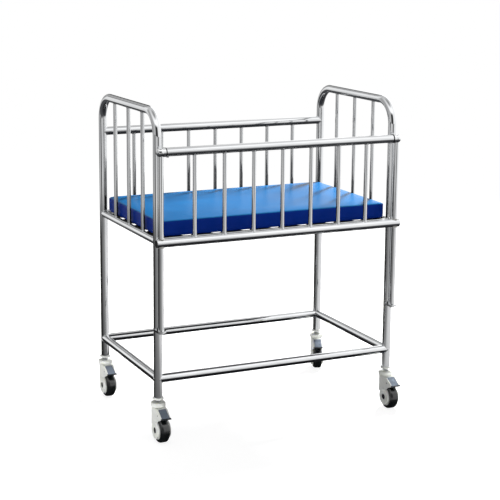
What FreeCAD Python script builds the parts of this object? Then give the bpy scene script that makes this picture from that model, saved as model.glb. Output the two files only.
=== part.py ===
"""Hospital bassinet: a tubular steel crib trolley with a drop side, a punched deck and a mattress,
on four braked swivel casters.

Millimetres, +Z up. The origin is on the floor, under the middle of the whole trolley. The drop
side is the front, towards -Y, and the push handles are the two ends, at -X and +X.
"""
import FreeCAD
import Part
import math
import os

V = FreeCAD.Vector
ALONG_X = V(1, 0, 0)
ALONG_Y = V(0, 1, 0)
UP = V(0, 0, 1)

# End hoops, each one bent tube: two legs and the push handle between them.
HOOP_SPACING = 765.0
LEG_SPACING = 460.0
HANDLE_Z = 960.0
LEG_BOTTOM = 128.0
TUBE_D = 25.0
TUBE_WALL = 1.2
HOOP_BEND = 70.0

# Rails between the legs.
BED_RAIL_D = 22.0
BED_RAIL_Z = 590.0
SHELF_RAIL_Z = 184.0
TOP_RAIL_BELOW_HANDLE = 110.0
WELD_GAP = 0.1

# Upright bars.
BAR_D = 12.0
BAR_WALL = 1.0
SIDE_BARS = 7
SIDE_BAR_PITCH = 93.0
END_BARS = 3

# Punched deck between the bed rails.
DECK_THICKNESS = 1.5
DECK_BELOW_RAIL_TOP = 4.0
DECK_HOLE_D = 34.0
DECK_HOLE_PITCH_X = 94.0
DECK_HOLE_PITCH_Y = 98.0
DECK_HOLE_COLUMNS = 9
DECK_HOLE_ROWS = 5

# Guide rods of the drop side, in front of the front legs.
ROD_OFFSET = 27.0
ROD_D = 16.0
ROD_TAIL = 4.0
ROD_TOP_ABOVE_RAIL = 11.0
ROD_DOME = 2.0
STUB_D = 10.0
LUG_TOP = 335.0
LUG_THICKNESS = 6.0
LUG_RADIUS = 14.0
SLIDE_FIT = 0.06

# Slide blocks, the ball ends of the drop side's top rail.
BALL_R = 14.0
COLLAR_R = 13.5
COLLAR_REACH = 14.0
JOINT_LINE = 2.0
SPIGOT_LENGTH = 16.0
SPIGOT_FIT = 0.05
STUB_SLOT_CLEARANCE = 0.5

# Ends of the drop side's bottom rail, with nylon bushes on the rods.
BOTTOM_RAIL_OVERHANG = 14.5
END_CAP_THICKNESS = 2.0
BUSH_WALL = 1.4
BUSH_PROUD = 0.5

# Latches, one in each end of the top rail.
PLUNGER_D = 9.0
PLUNGER_FIT = 0.06
PLUNGER_LENGTH = 44.0
LATCH_GAP = 0.3
LATCH_TRAVEL = 6.0
TAB_SIZE = 6.0
TAB_FROM_JOINT = 1.5
TAB_PROUD = 3.0
TAB_CLEARANCE = 0.4
SPRING_LENGTH = 20.0
SPRING_D = 8.0
SPRING_WIRE = 1.1
SPRING_TURNS = 4
STOP_THICKNESS = 4.0

# Mattress: a vinyl cover over a foam block.
MATTRESS_END_GAP = 3.0
MATTRESS_SIDE_GAP = 2.0
MATTRESS_THICKNESS = 48.5
MATTRESS_CORNER_R = 12.0
MATTRESS_TOP_ROUND = 5.0
MATTRESS_BOTTOM_ROUND = 8.0
COVER_THICKNESS = 2.0
FOAM_INSET = 6.0
SOFT_CLEARANCE = 0.3

# Casters: wheel, fork, drum, stem, pedal.
WHEEL_R = 37.5
TRAIL = 25.0
TYRE_WIDTH = 29.0
TYRE_DEPTH = 10.0
TYRE_SIDE_FLAT = 1.5
HUB_RIM = 3.5
HUB_WEB = 5.0
HUB_BOSS_R = 9.0
HUB_SUNK = 1.0
AXLE_D = 8.0
AXLE_HEAD_D = 13.0
AXLE_HEAD = 1.5
AXLE_RECESS_D = 17.0
AXLE_RECESS = 3.0
WHEEL_FIT = 0.06
WHEEL_SIDE_CLEARANCE = 0.8
CHEEK_THICKNESS = 4.0
CHEEK_DISC_R = 25.5
CHEEK_DISC_PROUD = 1.2
CHEEK_DISC_BEVEL = 0.8
CHEEK_RING_R = 18.0
CHEEK_RING_WIDTH = 2.0
CHEEK_RING_DEPTH = 0.6
DRUM_R = 22.0
DRUM_TOP = 114.0
DRUM_ROUND = 3.0
DRUM_GROOVE = 1.5
HOOD_TOP = 101.0
HOOD_NOSE_Y = -60.0
HOOD_NOSE_HALF_WIDTH = 15.0
HOOD_NOSE_TOP = 83.0
HOOD_NOSE_LOW = 78.0
HOOD_SLOPE_Y = -30.0
HOOD_NOTCH_Y = -40.0
HOOD_NOTCH_Z = 69.0
HOOD_SKIRT_Z = 50.0
HOOD_WALL = 3.0
HOOD_CROWN_Z = 84.0
HOOD_ROUND = 2.0
BACK_RIGHT_TURN_DEG = -22.0
STEM_D = 12.0
STEM_NECK_D = 17.0
STEM_FIT = 0.06
STEM_RUNNING_GAP = 0.3
STEM_HEAD_D = 18.0
STEM_HEAD = 2.5
SOCKET_DEPTH = 34.0
SOCKET_FIT = 0.05
FLANGE_D = 33.0
FLANGE_HEIGHT = 6.0
FLANGE_BEVEL = 1.5
PEDAL_WIDTH = 23.0
PEDAL_THICKNESS = 3.0
PEDAL_LIP_WIDTH = 31.0
PEDAL_LIP = 5.0
PEDAL_REACH = 65.5
PEDAL_TIP_GAP = 1.0
PEDAL_SWING_DEG = 12.0
PIVOT_Y = -36.0
PIVOT_Z = 84.0
PIVOT_D = 4.0
PIVOT_BOSS_R = 4.5
PIVOT_FIT = 0.06
PIVOT_PIN_SUNK = 0.5
SHOE_Y = -46.0
SHOE_LENGTH = 5.0
SHOE_WIDTH = 12.0
SHOE_CLEARANCE = 0.7

# Worked-out places.
FRONT_REACH = max(TRAIL + WHEEL_R, PEDAL_REACH)
BACK_REACH = DRUM_R
FRONT_Y = (FRONT_REACH - BACK_REACH - LEG_SPACING) / 2
BACK_Y = FRONT_Y + LEG_SPACING
LEFT_X = -HOOP_SPACING / 2
RIGHT_X = HOOP_SPACING / 2
ROD_Y = FRONT_Y - ROD_OFFSET
ENDS = {"left": LEFT_X, "right": RIGHT_X}
SIDES = {"front": FRONT_Y, "back": BACK_Y}
TUBE_BORE = TUBE_D - 2 * TUBE_WALL
TOP_RAIL_Z = HANDLE_Z - TOP_RAIL_BELOW_HANDLE
DECK_TOP = BED_RAIL_Z + BED_RAIL_D / 2 - DECK_BELOW_RAIL_TOP
MATTRESS_LENGTH = HOOP_SPACING - BAR_D - 2 * MATTRESS_END_GAP
MATTRESS_WIDTH = LEG_SPACING - TUBE_D - 2 * MATTRESS_SIDE_GAP
TOP_JOINT = COLLAR_REACH + JOINT_LINE


def save(name, shape):
    """Write one piece, or one group of like pieces, under its node's name."""
    shape.exportStep(os.path.join("parts", name + ".step"))


def rod(start, axis, length, diameter):
    """Round bar from a point along an axis."""
    return Part.makeCylinder(diameter / 2, length, start, axis)


def tube(start, axis, length, diameter, wall):
    """Round tube from a point along an axis."""
    return rod(start, axis, length, diameter).cut(rod(start, axis, length, diameter - 2 * wall))


def box(low, high):
    """Block between two opposite corners."""
    return Part.makeBox(high.x - low.x, high.y - low.y, high.z - low.z, low)


def group(solids):
    """Separate solids that share one node."""
    return Part.makeCompound(solids)


def leg_space(x, y):
    """A leg's outside, grown by the weld gap, for coping what is welded to it."""
    return rod(V(x, y, LEG_BOTTOM), UP, HANDLE_Z - LEG_BOTTOM, TUBE_D + 2 * WELD_GAP)


def end_rail_space(x, z, diameter):
    """An end rail's outside, grown by the weld gap, for coping the long rails beside it."""
    return rod(V(x, FRONT_Y, z), ALONG_Y, LEG_SPACING, diameter + 2 * WELD_GAP)


def revolve(points, centre, axis):
    """Solid of revolution of a closed polygon."""
    face = Part.Face(Part.makePolygon(points + points[:1]))
    return face.revolve(centre, axis, 360)


# ---------------------------------------------------------------------------- frame

def hoop_path(x):
    """Centre line of a hoop: up the front leg, round the bend, along the handle and down."""
    low = V(x, FRONT_Y, LEG_BOTTOM)
    bend_z = HANDLE_Z - HOOP_BEND
    corner = HOOP_BEND * (1 - math.sqrt(0.5))
    front_leg = Part.makeLine(low, V(x, FRONT_Y, bend_z))
    front_bend = Part.Arc(
        V(x, FRONT_Y, bend_z),
        V(x, FRONT_Y + corner, HANDLE_Z - corner),
        V(x, FRONT_Y + HOOP_BEND, HANDLE_Z),
    ).toShape()
    handle = Part.makeLine(V(x, FRONT_Y + HOOP_BEND, HANDLE_Z), V(x, BACK_Y - HOOP_BEND, HANDLE_Z))
    back_bend = Part.Arc(
        V(x, BACK_Y - HOOP_BEND, HANDLE_Z),
        V(x, BACK_Y - corner, HANDLE_Z - corner),
        V(x, BACK_Y, bend_z),
    ).toShape()
    back_leg = Part.makeLine(V(x, BACK_Y, bend_z), V(x, BACK_Y, LEG_BOTTOM))
    return Part.Wire([front_leg, front_bend, handle, back_bend, back_leg])


def swept(path, x, diameter):
    """Round section carried along a hoop's centre line."""
    section = Part.Wire(Part.makeCircle(diameter / 2, V(x, FRONT_Y, LEG_BOTTOM), UP))
    return path.makePipeShell([section], True, False)


def end_hoop(x):
    """One bent tube with open leg ends."""
    path = hoop_path(x)
    return swept(path, x, TUBE_D).cut(swept(path, x, TUBE_BORE))


def end_rail(x, z, diameter):
    """Tube between the two legs of a hoop, its ends coped to them."""
    rail = tube(V(x, FRONT_Y, z), ALONG_Y, LEG_SPACING, diameter, TUBE_WALL)
    return rail.cut([leg_space(x, FRONT_Y), leg_space(x, BACK_Y)])


def long_rail(y, z, diameter, beside_end_rails):
    """Tube between the two hoops, coped to the legs and to the end rails that meet them there."""
    rail = tube(V(LEFT_X, y, z), ALONG_X, HOOP_SPACING, diameter, TUBE_WALL)
    cutters = [leg_space(LEFT_X, y), leg_space(RIGHT_X, y)]
    if beside_end_rails:
        cutters += [end_rail_space(x, z, diameter) for x in ENDS.values()]
    return rail.cut(cutters)


def end_bars(x):
    """Upright bars under a handle, evenly spaced, coped to the handle and to the bed rail."""
    handle = rod(V(x, FRONT_Y, HANDLE_Z), ALONG_Y, LEG_SPACING, TUBE_D + 2 * WELD_GAP)
    bed_rail = end_rail_space(x, BED_RAIL_Z, BED_RAIL_D)
    bars = []
    for number in range(1, END_BARS + 1):
        y = FRONT_Y + LEG_SPACING * number / (END_BARS + 1)
        bar = tube(V(x, y, BED_RAIL_Z), UP, HANDLE_Z - BED_RAIL_Z, BAR_D, BAR_WALL)
        bars.append(bar.cut([handle, bed_rail]))
    return group(bars)


def side_bars(y, lower_rail_d):
    """Upright bars between a side's two rails, at one pitch about the middle, coped to both."""
    upper = rod(V(LEFT_X, y, TOP_RAIL_Z), ALONG_X, HOOP_SPACING, TUBE_D + 2 * WELD_GAP)
    lower = rod(V(LEFT_X, y, BED_RAIL_Z), ALONG_X, HOOP_SPACING, lower_rail_d + 2 * WELD_GAP)
    bars = []
    for number in range(SIDE_BARS):
        x = (number - (SIDE_BARS - 1) / 2) * SIDE_BAR_PITCH
        bar = tube(V(x, y, BED_RAIL_Z), UP, TOP_RAIL_Z - BED_RAIL_Z, BAR_D, BAR_WALL)
        bars.append(bar.cut([upper, lower]))
    return group(bars)


def bed_deck():
    """Sheet let in between the bed rails, its edges on their inner shoulders, notched round the
    legs and punched all over in one pattern that runs off its ends."""
    rail_r = BED_RAIL_D / 2
    shoulder = DECK_TOP - DECK_THICKNESS - BED_RAIL_Z
    inset = math.sqrt(rail_r ** 2 - shoulder ** 2) + WELD_GAP
    low = V(LEFT_X + inset, FRONT_Y + inset, DECK_TOP - DECK_THICKNESS)
    high = V(RIGHT_X - inset, BACK_Y - inset, DECK_TOP)
    cutters = [leg_space(x, y) for x in ENDS.values() for y in SIDES.values()]
    for column in range(DECK_HOLE_COLUMNS):
        x = (column - (DECK_HOLE_COLUMNS - 1) / 2) * DECK_HOLE_PITCH_X
        for row in range(DECK_HOLE_ROWS):
            y = (FRONT_Y + BACK_Y) / 2 + (row - (DECK_HOLE_ROWS - 1) / 2) * DECK_HOLE_PITCH_Y
            cutters.append(rod(V(x, y, low.z), UP, DECK_THICKNESS, DECK_HOLE_D))
    return box(low, high).cut(cutters)


# ---------------------------------------------------------------------------- drop side guides

def guide_rod(x):
    """Polished rod with a domed top, and the stub near its top that is welded to the leg."""
    bottom = LUG_TOP - LUG_THICKNESS - ROD_TAIL
    top = TOP_RAIL_Z + ROD_TOP_ABOVE_RAIL
    bar = rod(V(x, ROD_Y, bottom), UP, top - bottom, ROD_D)
    rim = [edge for edge in bar.Edges if abs(edge.BoundBox.ZMin - top) < ROD_DOME / 2]
    rim = [edge for edge in rim if edge.Closed and edge.BoundBox.ZLength < ROD_DOME / 2]
    bar = bar.makeFillet(ROD_DOME, rim)
    stub = rod(V(x, ROD_Y, stub_z()), ALONG_Y, ROD_OFFSET, STUB_D)
    return bar.fuse(stub.cut(leg_space(x, FRONT_Y)))


def stub_z():
    """Height of the stub's axis: its top is level with the rod's."""
    return TOP_RAIL_Z + ROD_TOP_ABOVE_RAIL - STUB_D / 2


def rod_lug(x):
    """Plate welded to the leg, round about the rod that stands in it."""
    low_z = LUG_TOP - LUG_THICKNESS
    end = rod(V(x, ROD_Y, low_z), UP, LUG_THICKNESS, 2 * LUG_RADIUS)
    arm = box(V(x - LUG_RADIUS, ROD_Y, low_z), V(x + LUG_RADIUS, FRONT_Y, LUG_TOP))
    hole = rod(V(x, ROD_Y, low_z), UP, LUG_THICKNESS, ROD_D + 2 * WELD_GAP)
    past_leg = box(V(x - LUG_RADIUS, FRONT_Y - TUBE_D / 4, low_z), V(x + LUG_RADIUS, FRONT_Y, LUG_TOP))
    return end.fuse(arm).cut([hole, leg_space(x, FRONT_Y), past_leg]).removeSplitter()


# ---------------------------------------------------------------------------- drop side

def toward_middle(x):
    """Axis pointing from an end towards the middle of the trolley."""
    return V(-math.copysign(1, x), 0, 0)


def slide_block(x):
    """Ball end of the top rail: it slides on the rod, guides the plunger along its middle, and
    has a slot at the back that lets the rod's stub out as the side goes down."""
    inward = toward_middle(x)
    centre = V(x, ROD_Y, TOP_RAIL_Z)
    block = Part.makeSphere(BALL_R, centre)
    block = block.fuse(rod(centre, inward, COLLAR_REACH, 2 * COLLAR_R))
    spigot_d = TUBE_BORE - 2 * SPIGOT_FIT
    block = block.fuse(rod(centre, inward, TOP_JOINT + SPIGOT_LENGTH, spigot_d))
    rod_bore = rod(V(x, ROD_Y, TOP_RAIL_Z - 2 * BALL_R), UP, 4 * BALL_R, ROD_D + 2 * SLIDE_FIT)
    plunger_bore = rod(centre, inward, TOP_JOINT + SPIGOT_LENGTH, PLUNGER_D + 2 * PLUNGER_FIT)
    slot_half = STUB_D / 2 + STUB_SLOT_CLEARANCE
    slot_foot = rod(V(x, ROD_Y, stub_z()), ALONG_Y, 2 * BALL_R, 2 * slot_half)
    slot = box(V(x - slot_half, ROD_Y, stub_z()),
               V(x + slot_half, ROD_Y + 2 * BALL_R, TOP_RAIL_Z + 2 * BALL_R))
    return block.cut([rod_bore, plunger_bore, slot_foot, slot, tab_slot(x)]).removeSplitter()


def tab_place(x):
    """Middle of the finger tab along the rail, with the latch at rest."""
    return x + toward_middle(x).x * (TOP_JOINT + TAB_FROM_JOINT + TAB_SIZE / 2)


def tab_slot(x):
    """Slot under the top rail's end for the finger tab and its travel."""
    inward = toward_middle(x).x
    outer = tab_place(x) - inward * (TAB_SIZE / 2 + TAB_CLEARANCE)
    inner = tab_place(x) + inward * (TAB_SIZE / 2 + LATCH_TRAVEL + TAB_CLEARANCE)
    half = TAB_SIZE / 2 + TAB_CLEARANCE
    return box(V(min(outer, inner), ROD_Y - half, TOP_RAIL_Z - TUBE_D),
               V(max(outer, inner), ROD_Y + half, TOP_RAIL_Z))


def drop_top_rail():
    """Tube on the spigots of the two slide blocks, slotted underneath for the finger tabs."""
    start = V(LEFT_X + TOP_JOINT, ROD_Y, TOP_RAIL_Z)
    rail = tube(start, ALONG_X, HOOP_SPACING - 2 * TOP_JOINT, TUBE_D, TUBE_WALL)
    return rail.cut([tab_slot(x) for x in ENDS.values()])


def drop_bottom_rail():
    """Tube past both rods, closed at its ends and bored through for the bushes."""
    reach = HOOP_SPACING + 2 * BOTTOM_RAIL_OVERHANG
    start = V(LEFT_X - BOTTOM_RAIL_OVERHANG, ROD_Y, BED_RAIL_Z)
    rail = rod(start, ALONG_X, reach, TUBE_D)
    ends = [edge for edge in rail.Edges if edge.BoundBox.XLength < TUBE_WALL]
    rail = rail.makeFillet(END_CAP_THICKNESS * 0.75, ends)
    hollow = V(start.x + END_CAP_THICKNESS, start.y, start.z)
    bores = [rod(V(x, ROD_Y, BED_RAIL_Z - TUBE_D), UP, 2 * TUBE_D, bush_d() + 2 * WELD_GAP)
             for x in ENDS.values()]
    return rail.cut([rod(hollow, ALONG_X, reach - 2 * END_CAP_THICKNESS, TUBE_BORE)] + bores)


def bush_d():
    """Outside of the bottom rail's bushes."""
    return ROD_D + 2 * SLIDE_FIT + 2 * BUSH_WALL


def drop_rail_bushes():
    """Nylon bushes through the bottom rail, one on each rod."""
    length = TUBE_D + 2 * BUSH_PROUD
    bushes = []
    for x in ENDS.values():
        start = V(x, ROD_Y, BED_RAIL_Z - length / 2)
        bushes.append(tube(start, UP, length, bush_d(), BUSH_WALL))
    return group(bushes)


def latch_plunger(x):
    """Plunger that noses up to the rod, with its finger tab standing out below the rail."""
    inward = toward_middle(x)
    nose = V(x, ROD_Y, TOP_RAIL_Z) + inward * (ROD_D / 2 + LATCH_GAP)
    plunger = rod(nose, inward, PLUNGER_LENGTH, PLUNGER_D)
    half = TAB_SIZE / 2
    middle = tab_place(x)
    tab = box(V(middle - half, ROD_Y - half, TOP_RAIL_Z - TUBE_D / 2 - TAB_PROUD),
              V(middle + half, ROD_Y + half, TOP_RAIL_Z))
    foot = [edge for edge in tab.Edges if edge.BoundBox.ZMax < TOP_RAIL_Z - TUBE_D / 2]
    return plunger.fuse(tab.makeFillet(half / 3, foot)).removeSplitter()


def spring_start():
    """How far inboard of the rod's axis the latch spring starts, behind the plunger."""
    return ROD_D / 2 + LATCH_GAP + PLUNGER_LENGTH


def latch_spring(x):
    """Coil spring of square wire between the plunger and its stop."""
    radius = (SPRING_D - SPRING_WIRE) / 2
    pitch = (SPRING_LENGTH - 2 * SPRING_WIRE) / SPRING_TURNS
    helix = Part.makeHelix(pitch, pitch * SPRING_TURNS, radius)
    half = SPRING_WIRE / 2
    corners = [V(radius - half, 0, -half), V(radius + half, 0, -half),
               V(radius + half, 0, half), V(radius - half, 0, half)]
    section = Part.makePolygon(corners + corners[:1])
    spring = Part.Wire(helix.Edges).makePipeShell([section], True, True)
    inward = toward_middle(x)
    spring.rotate(V(0, 0, 0), ALONG_Y, 90 * inward.x)
    spring.translate(V(x, ROD_Y, TOP_RAIL_Z) + inward * (spring_start() + SPRING_WIRE))
    return spring


def latch_stops():
    """Plugs fixed in the top rail behind the two latch springs."""
    stops = []
    for x in ENDS.values():
        inward = toward_middle(x)
        start = V(x, ROD_Y, TOP_RAIL_Z) + inward * (spring_start() + SPRING_LENGTH)
        stops.append(rod(start, inward, STOP_THICKNESS, TUBE_BORE - 2 * WELD_GAP))
    return group(stops)


# ---------------------------------------------------------------------------- mattress

def rounded_slab(length, width, corner_r, low_z, high_z):
    """Flat slab about the middle of the bed, its upright corners rounded."""
    middle_y = (FRONT_Y + BACK_Y) / 2
    slab = box(V(-length / 2, middle_y - width / 2, low_z), V(length / 2, middle_y + width / 2, high_z))
    upright = [edge for edge in slab.Edges if edge.BoundBox.ZLength > (high_z - low_z) / 2]
    return slab.makeFillet(corner_r, upright)


def mattress_bottom():
    """Underside of the mattress, on the deck."""
    return DECK_TOP + SOFT_CLEARANCE


def foam_space(clearance):
    """The foam block, or with a clearance the room that it has inside the cover."""
    low = mattress_bottom() + COVER_THICKNESS + SOFT_CLEARANCE - clearance
    high = mattress_bottom() + MATTRESS_THICKNESS - COVER_THICKNESS - SOFT_CLEARANCE + clearance
    inset = FOAM_INSET - clearance
    return rounded_slab(MATTRESS_LENGTH - 2 * inset, MATTRESS_WIDTH - 2 * inset,
                        MATTRESS_CORNER_R - inset, low, high)


def mattress_cover():
    """Welded vinyl cover, rounder underneath than on top, with the foam's room inside."""
    low = mattress_bottom()
    high = low + MATTRESS_THICKNESS
    cover = rounded_slab(MATTRESS_LENGTH, MATTRESS_WIDTH, MATTRESS_CORNER_R, low, high)
    thin = MATTRESS_TOP_ROUND / 4
    top = [edge for edge in cover.Edges if edge.BoundBox.ZMin > high - thin]
    cover = cover.makeFillet(MATTRESS_TOP_ROUND, top)
    bottom = [edge for edge in cover.Edges if edge.BoundBox.ZMax < low + thin]
    cover = cover.makeFillet(MATTRESS_BOTTOM_ROUND, bottom)
    return cover.cut(foam_space(SOFT_CLEARANCE))


# ---------------------------------------------------------------------------- casters
# A caster is drawn about its swivel axis with the wheel trailing towards -Y, then put under
# each leg. They stand as they were pushed there, the back right one swivelled from the rest.

CHEEK_INNER = TYRE_WIDTH / 2 + WHEEL_SIDE_CLEARANCE
CHEEK_OUTER = CHEEK_INNER + CHEEK_THICKNESS
CHEEK_DISC_OUTER = CHEEK_OUTER + CHEEK_DISC_PROUD
TYRE_SHOULDER = TYRE_DEPTH - TYRE_SIDE_FLAT


def leg_socket():
    """Nylon plug pressed into the leg's open end, with a flange under the tube."""
    flange = rod(V(0, 0, LEG_BOTTOM - FLANGE_HEIGHT), UP, FLANGE_HEIGHT, FLANGE_D)
    rims = [edge for edge in flange.Edges if edge.Closed and edge.BoundBox.ZLength < FLANGE_BEVEL / 2]
    flange = flange.makeChamfer(FLANGE_BEVEL, rims)
    plug = rod(V(0, 0, LEG_BOTTOM - FLANGE_HEIGHT / 2), UP, SOCKET_DEPTH, TUBE_BORE - 2 * SOCKET_FIT)
    hole = rod(V(0, 0, 0), UP, LEG_BOTTOM + SOCKET_DEPTH / 2, STEM_D + 2 * SOCKET_FIT)
    return flange.fuse(plug).cut(hole)


def caster_stem():
    """Steel stem: held in the socket, thicker at the bare neck, headed under the fork's crown."""
    stem_top = LEG_BOTTOM + SOCKET_DEPTH / 2 - SOCKET_FIT
    head_top = HOOD_CROWN_Z - STEM_RUNNING_GAP
    stem = rod(V(0, 0, head_top), UP, stem_top - head_top, STEM_D)
    neck_low = DRUM_TOP + STEM_RUNNING_GAP
    neck_high = LEG_BOTTOM - FLANGE_HEIGHT - WELD_GAP
    neck = rod(V(0, 0, neck_low), UP, neck_high - neck_low, STEM_NECK_D)
    head = rod(V(0, 0, head_top - STEM_HEAD), UP, STEM_HEAD, STEM_HEAD_D)
    return stem.fuse([neck, head])


def hood_plan(inset):
    """Teardrop outline of the hood seen from above: round about the stem, narrowing forward."""
    rear_r = CHEEK_OUTER - inset
    nose_half = HOOD_NOSE_HALF_WIDTH - inset
    left = V(-rear_r, 0, 0)
    right = V(rear_r, 0, 0)
    nose_left = V(-nose_half, HOOD_NOSE_Y, 0)
    nose_right = V(nose_half, HOOD_NOSE_Y, 0)
    rear = Part.Arc(right, V(0, rear_r, 0), left).toShape()
    edges = [rear, Part.makeLine(left, nose_left), Part.makeLine(nose_left, nose_right),
             Part.makeLine(nose_right, right)]
    return Part.Face(Part.Wire(edges))


def fork_side():
    """Side outline of the hood: flat top, slope down to the nose, back up under it to the notch
    over the tyre, and down to the skirt behind the wheel."""
    wide = DRUM_R + CHEEK_OUTER
    points = [
        V(-wide, wide, HOOD_TOP),
        V(-wide, HOOD_SLOPE_Y, HOOD_TOP),
        V(-wide, HOOD_NOSE_Y, HOOD_NOSE_TOP),
        V(-wide, HOOD_NOSE_Y, HOOD_NOSE_LOW),
        V(-wide, HOOD_NOTCH_Y, HOOD_NOTCH_Z),
        V(-wide, -TRAIL, HOOD_SKIRT_Z),
        V(-wide, wide, HOOD_SKIRT_Z),
    ]
    return Part.Face(Part.makePolygon(points + points[:1])).extrude(V(2 * wide, 0, 0))


def caster_fork():
    """Moulded nylon fork: a drum on the stem, a teardrop hood and two cheeks round the axle."""
    axle = V(0, -TRAIL, WHEEL_R)
    hood = hood_plan(0).extrude(V(0, 0, HOOD_TOP)).common(fork_side())
    above = [edge for edge in hood.Edges if edge.BoundBox.ZMax > HOOD_SKIRT_Z + HOOD_ROUND]
    rounded = [edge for edge in above
               if edge.BoundBox.YMin < -HOOD_ROUND or edge.BoundBox.ZLength < HOOD_ROUND]
    hood = hood.makeFillet(HOOD_ROUND, rounded)
    disc_start = V(-CHEEK_DISC_OUTER, axle.y, axle.z)
    discs = rod(disc_start, ALONG_X, 2 * CHEEK_DISC_OUTER, 2 * CHEEK_DISC_R)
    discs = discs.makeChamfer(CHEEK_DISC_BEVEL, [edge for edge in discs.Edges if edge.Closed])
    drum_low = HOOD_TOP - DRUM_GROOVE
    drum = rod(V(0, 0, HOOD_TOP + DRUM_GROOVE), UP, DRUM_TOP - HOOD_TOP - DRUM_GROOVE, 2 * DRUM_R)
    rims = [edge for edge in drum.Edges if edge.Closed and edge.BoundBox.ZMin > DRUM_TOP - DRUM_ROUND]
    drum = drum.makeFillet(DRUM_ROUND, rims)
    groove = rod(V(0, 0, drum_low), UP, 3 * DRUM_GROOVE, 2 * (DRUM_R - 2 * DRUM_GROOVE))
    outside = hood.fuse([discs, drum, groove])

    room = hood_plan(HOOD_WALL).extrude(V(0, 0, HOOD_CROWN_Z))
    pedal_half = PEDAL_WIDTH / 2 + PEDAL_TIP_GAP
    pedal_room = box(V(-pedal_half, HOOD_NOSE_Y * 2, HOOD_NOTCH_Z),
                     V(pedal_half, HOOD_SLOPE_Y, HOOD_TOP * 2))
    axle_hole = rod(disc_start, ALONG_X, 2 * CHEEK_DISC_OUTER, AXLE_D + 2 * WELD_GAP)
    recesses = []
    for side in (-1, 1):
        face = V(side * CHEEK_DISC_OUTER, axle.y, axle.z)
        inward = V(-side, 0, 0)
        recesses.append(rod(face, inward, AXLE_RECESS, AXLE_RECESS_D))
        recesses.append(tube(face, inward, CHEEK_RING_DEPTH, 2 * CHEEK_RING_R, CHEEK_RING_WIDTH))
    stem_bore = rod(V(0, 0, 0), UP, 2 * DRUM_TOP, STEM_D + 2 * STEM_FIT)
    pin_hole = rod(V(-CHEEK_OUTER, PIVOT_Y, PIVOT_Z), ALONG_X, 2 * CHEEK_OUTER, PIVOT_D + 2 * WELD_GAP)
    cutters = [room, tyre_room(), pedal_room, axle_hole, stem_bore, pin_hole] + recesses
    return outside.cut(cutters).removeSplitter()


def wheel_axle():
    """Steel axle across the cheeks, with flat heads in their recesses."""
    seat = CHEEK_DISC_OUTER - AXLE_RECESS + WELD_GAP
    axle = rod(V(-seat, -TRAIL, WHEEL_R), ALONG_X, 2 * seat, AXLE_D)
    heads = [rod(V(side * seat, -TRAIL, WHEEL_R), V(side, 0, 0), AXLE_HEAD, AXLE_HEAD_D)
             for side in (-1, 1)]
    return axle.fuse(heads)


def turned(points):
    """Ring about the axle from (along the axle, radius) points."""
    section = [V(x, -TRAIL, WHEEL_R + r) for x, r in points]
    return revolve(section, V(0, -TRAIL, WHEEL_R), ALONG_X)


def wheel_hub():
    """Nylon hub: a boss on the axle, a web and the rim that carries the tyre."""
    bore = AXLE_D / 2 + WHEEL_FIT
    rim_out = WHEEL_R - TYRE_DEPTH
    rim_in = rim_out - HUB_RIM
    rim_half = TYRE_WIDTH / 2 - HUB_SUNK
    boss_half = CHEEK_INNER - WHEEL_SIDE_CLEARANCE / 2
    web = HUB_WEB / 2
    return turned([
        (-boss_half, bore), (boss_half, bore), (boss_half, HUB_BOSS_R), (web, HUB_BOSS_R),
        (web, rim_in), (rim_half, rim_in), (rim_half, rim_out), (-rim_half, rim_out),
        (-rim_half, rim_in), (-web, rim_in), (-web, HUB_BOSS_R), (-boss_half, HUB_BOSS_R),
    ])


def tyre_room():
    """Space that the fork leaves round the wheel, bevelled like the tyre's shoulders."""
    half = CHEEK_INNER
    reach = WHEEL_R + WHEEL_SIDE_CLEARANCE
    bevel = TYRE_SHOULDER / 2
    return turned([(-half, 0), (half, 0), (half, WHEEL_R - bevel), (half - bevel, reach),
                   (bevel - half, reach), (-half, WHEEL_R - bevel)])


def tyre():
    """Grey rubber tyre with a rounded crown, moulded on the hub."""
    half = TYRE_WIDTH / 2
    inner = WHEEL_R - TYRE_DEPTH + WELD_GAP
    ring = turned([(-half, inner), (half, inner), (half, WHEEL_R), (-half, WHEEL_R)])
    tall = 2 * WHEEL_R - TYRE_SHOULDER
    crown = [edge for edge in ring.Edges if edge.Closed and edge.BoundBox.ZLength > tall]
    return ring.makeFillet(TYRE_SHOULDER, crown)


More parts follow.
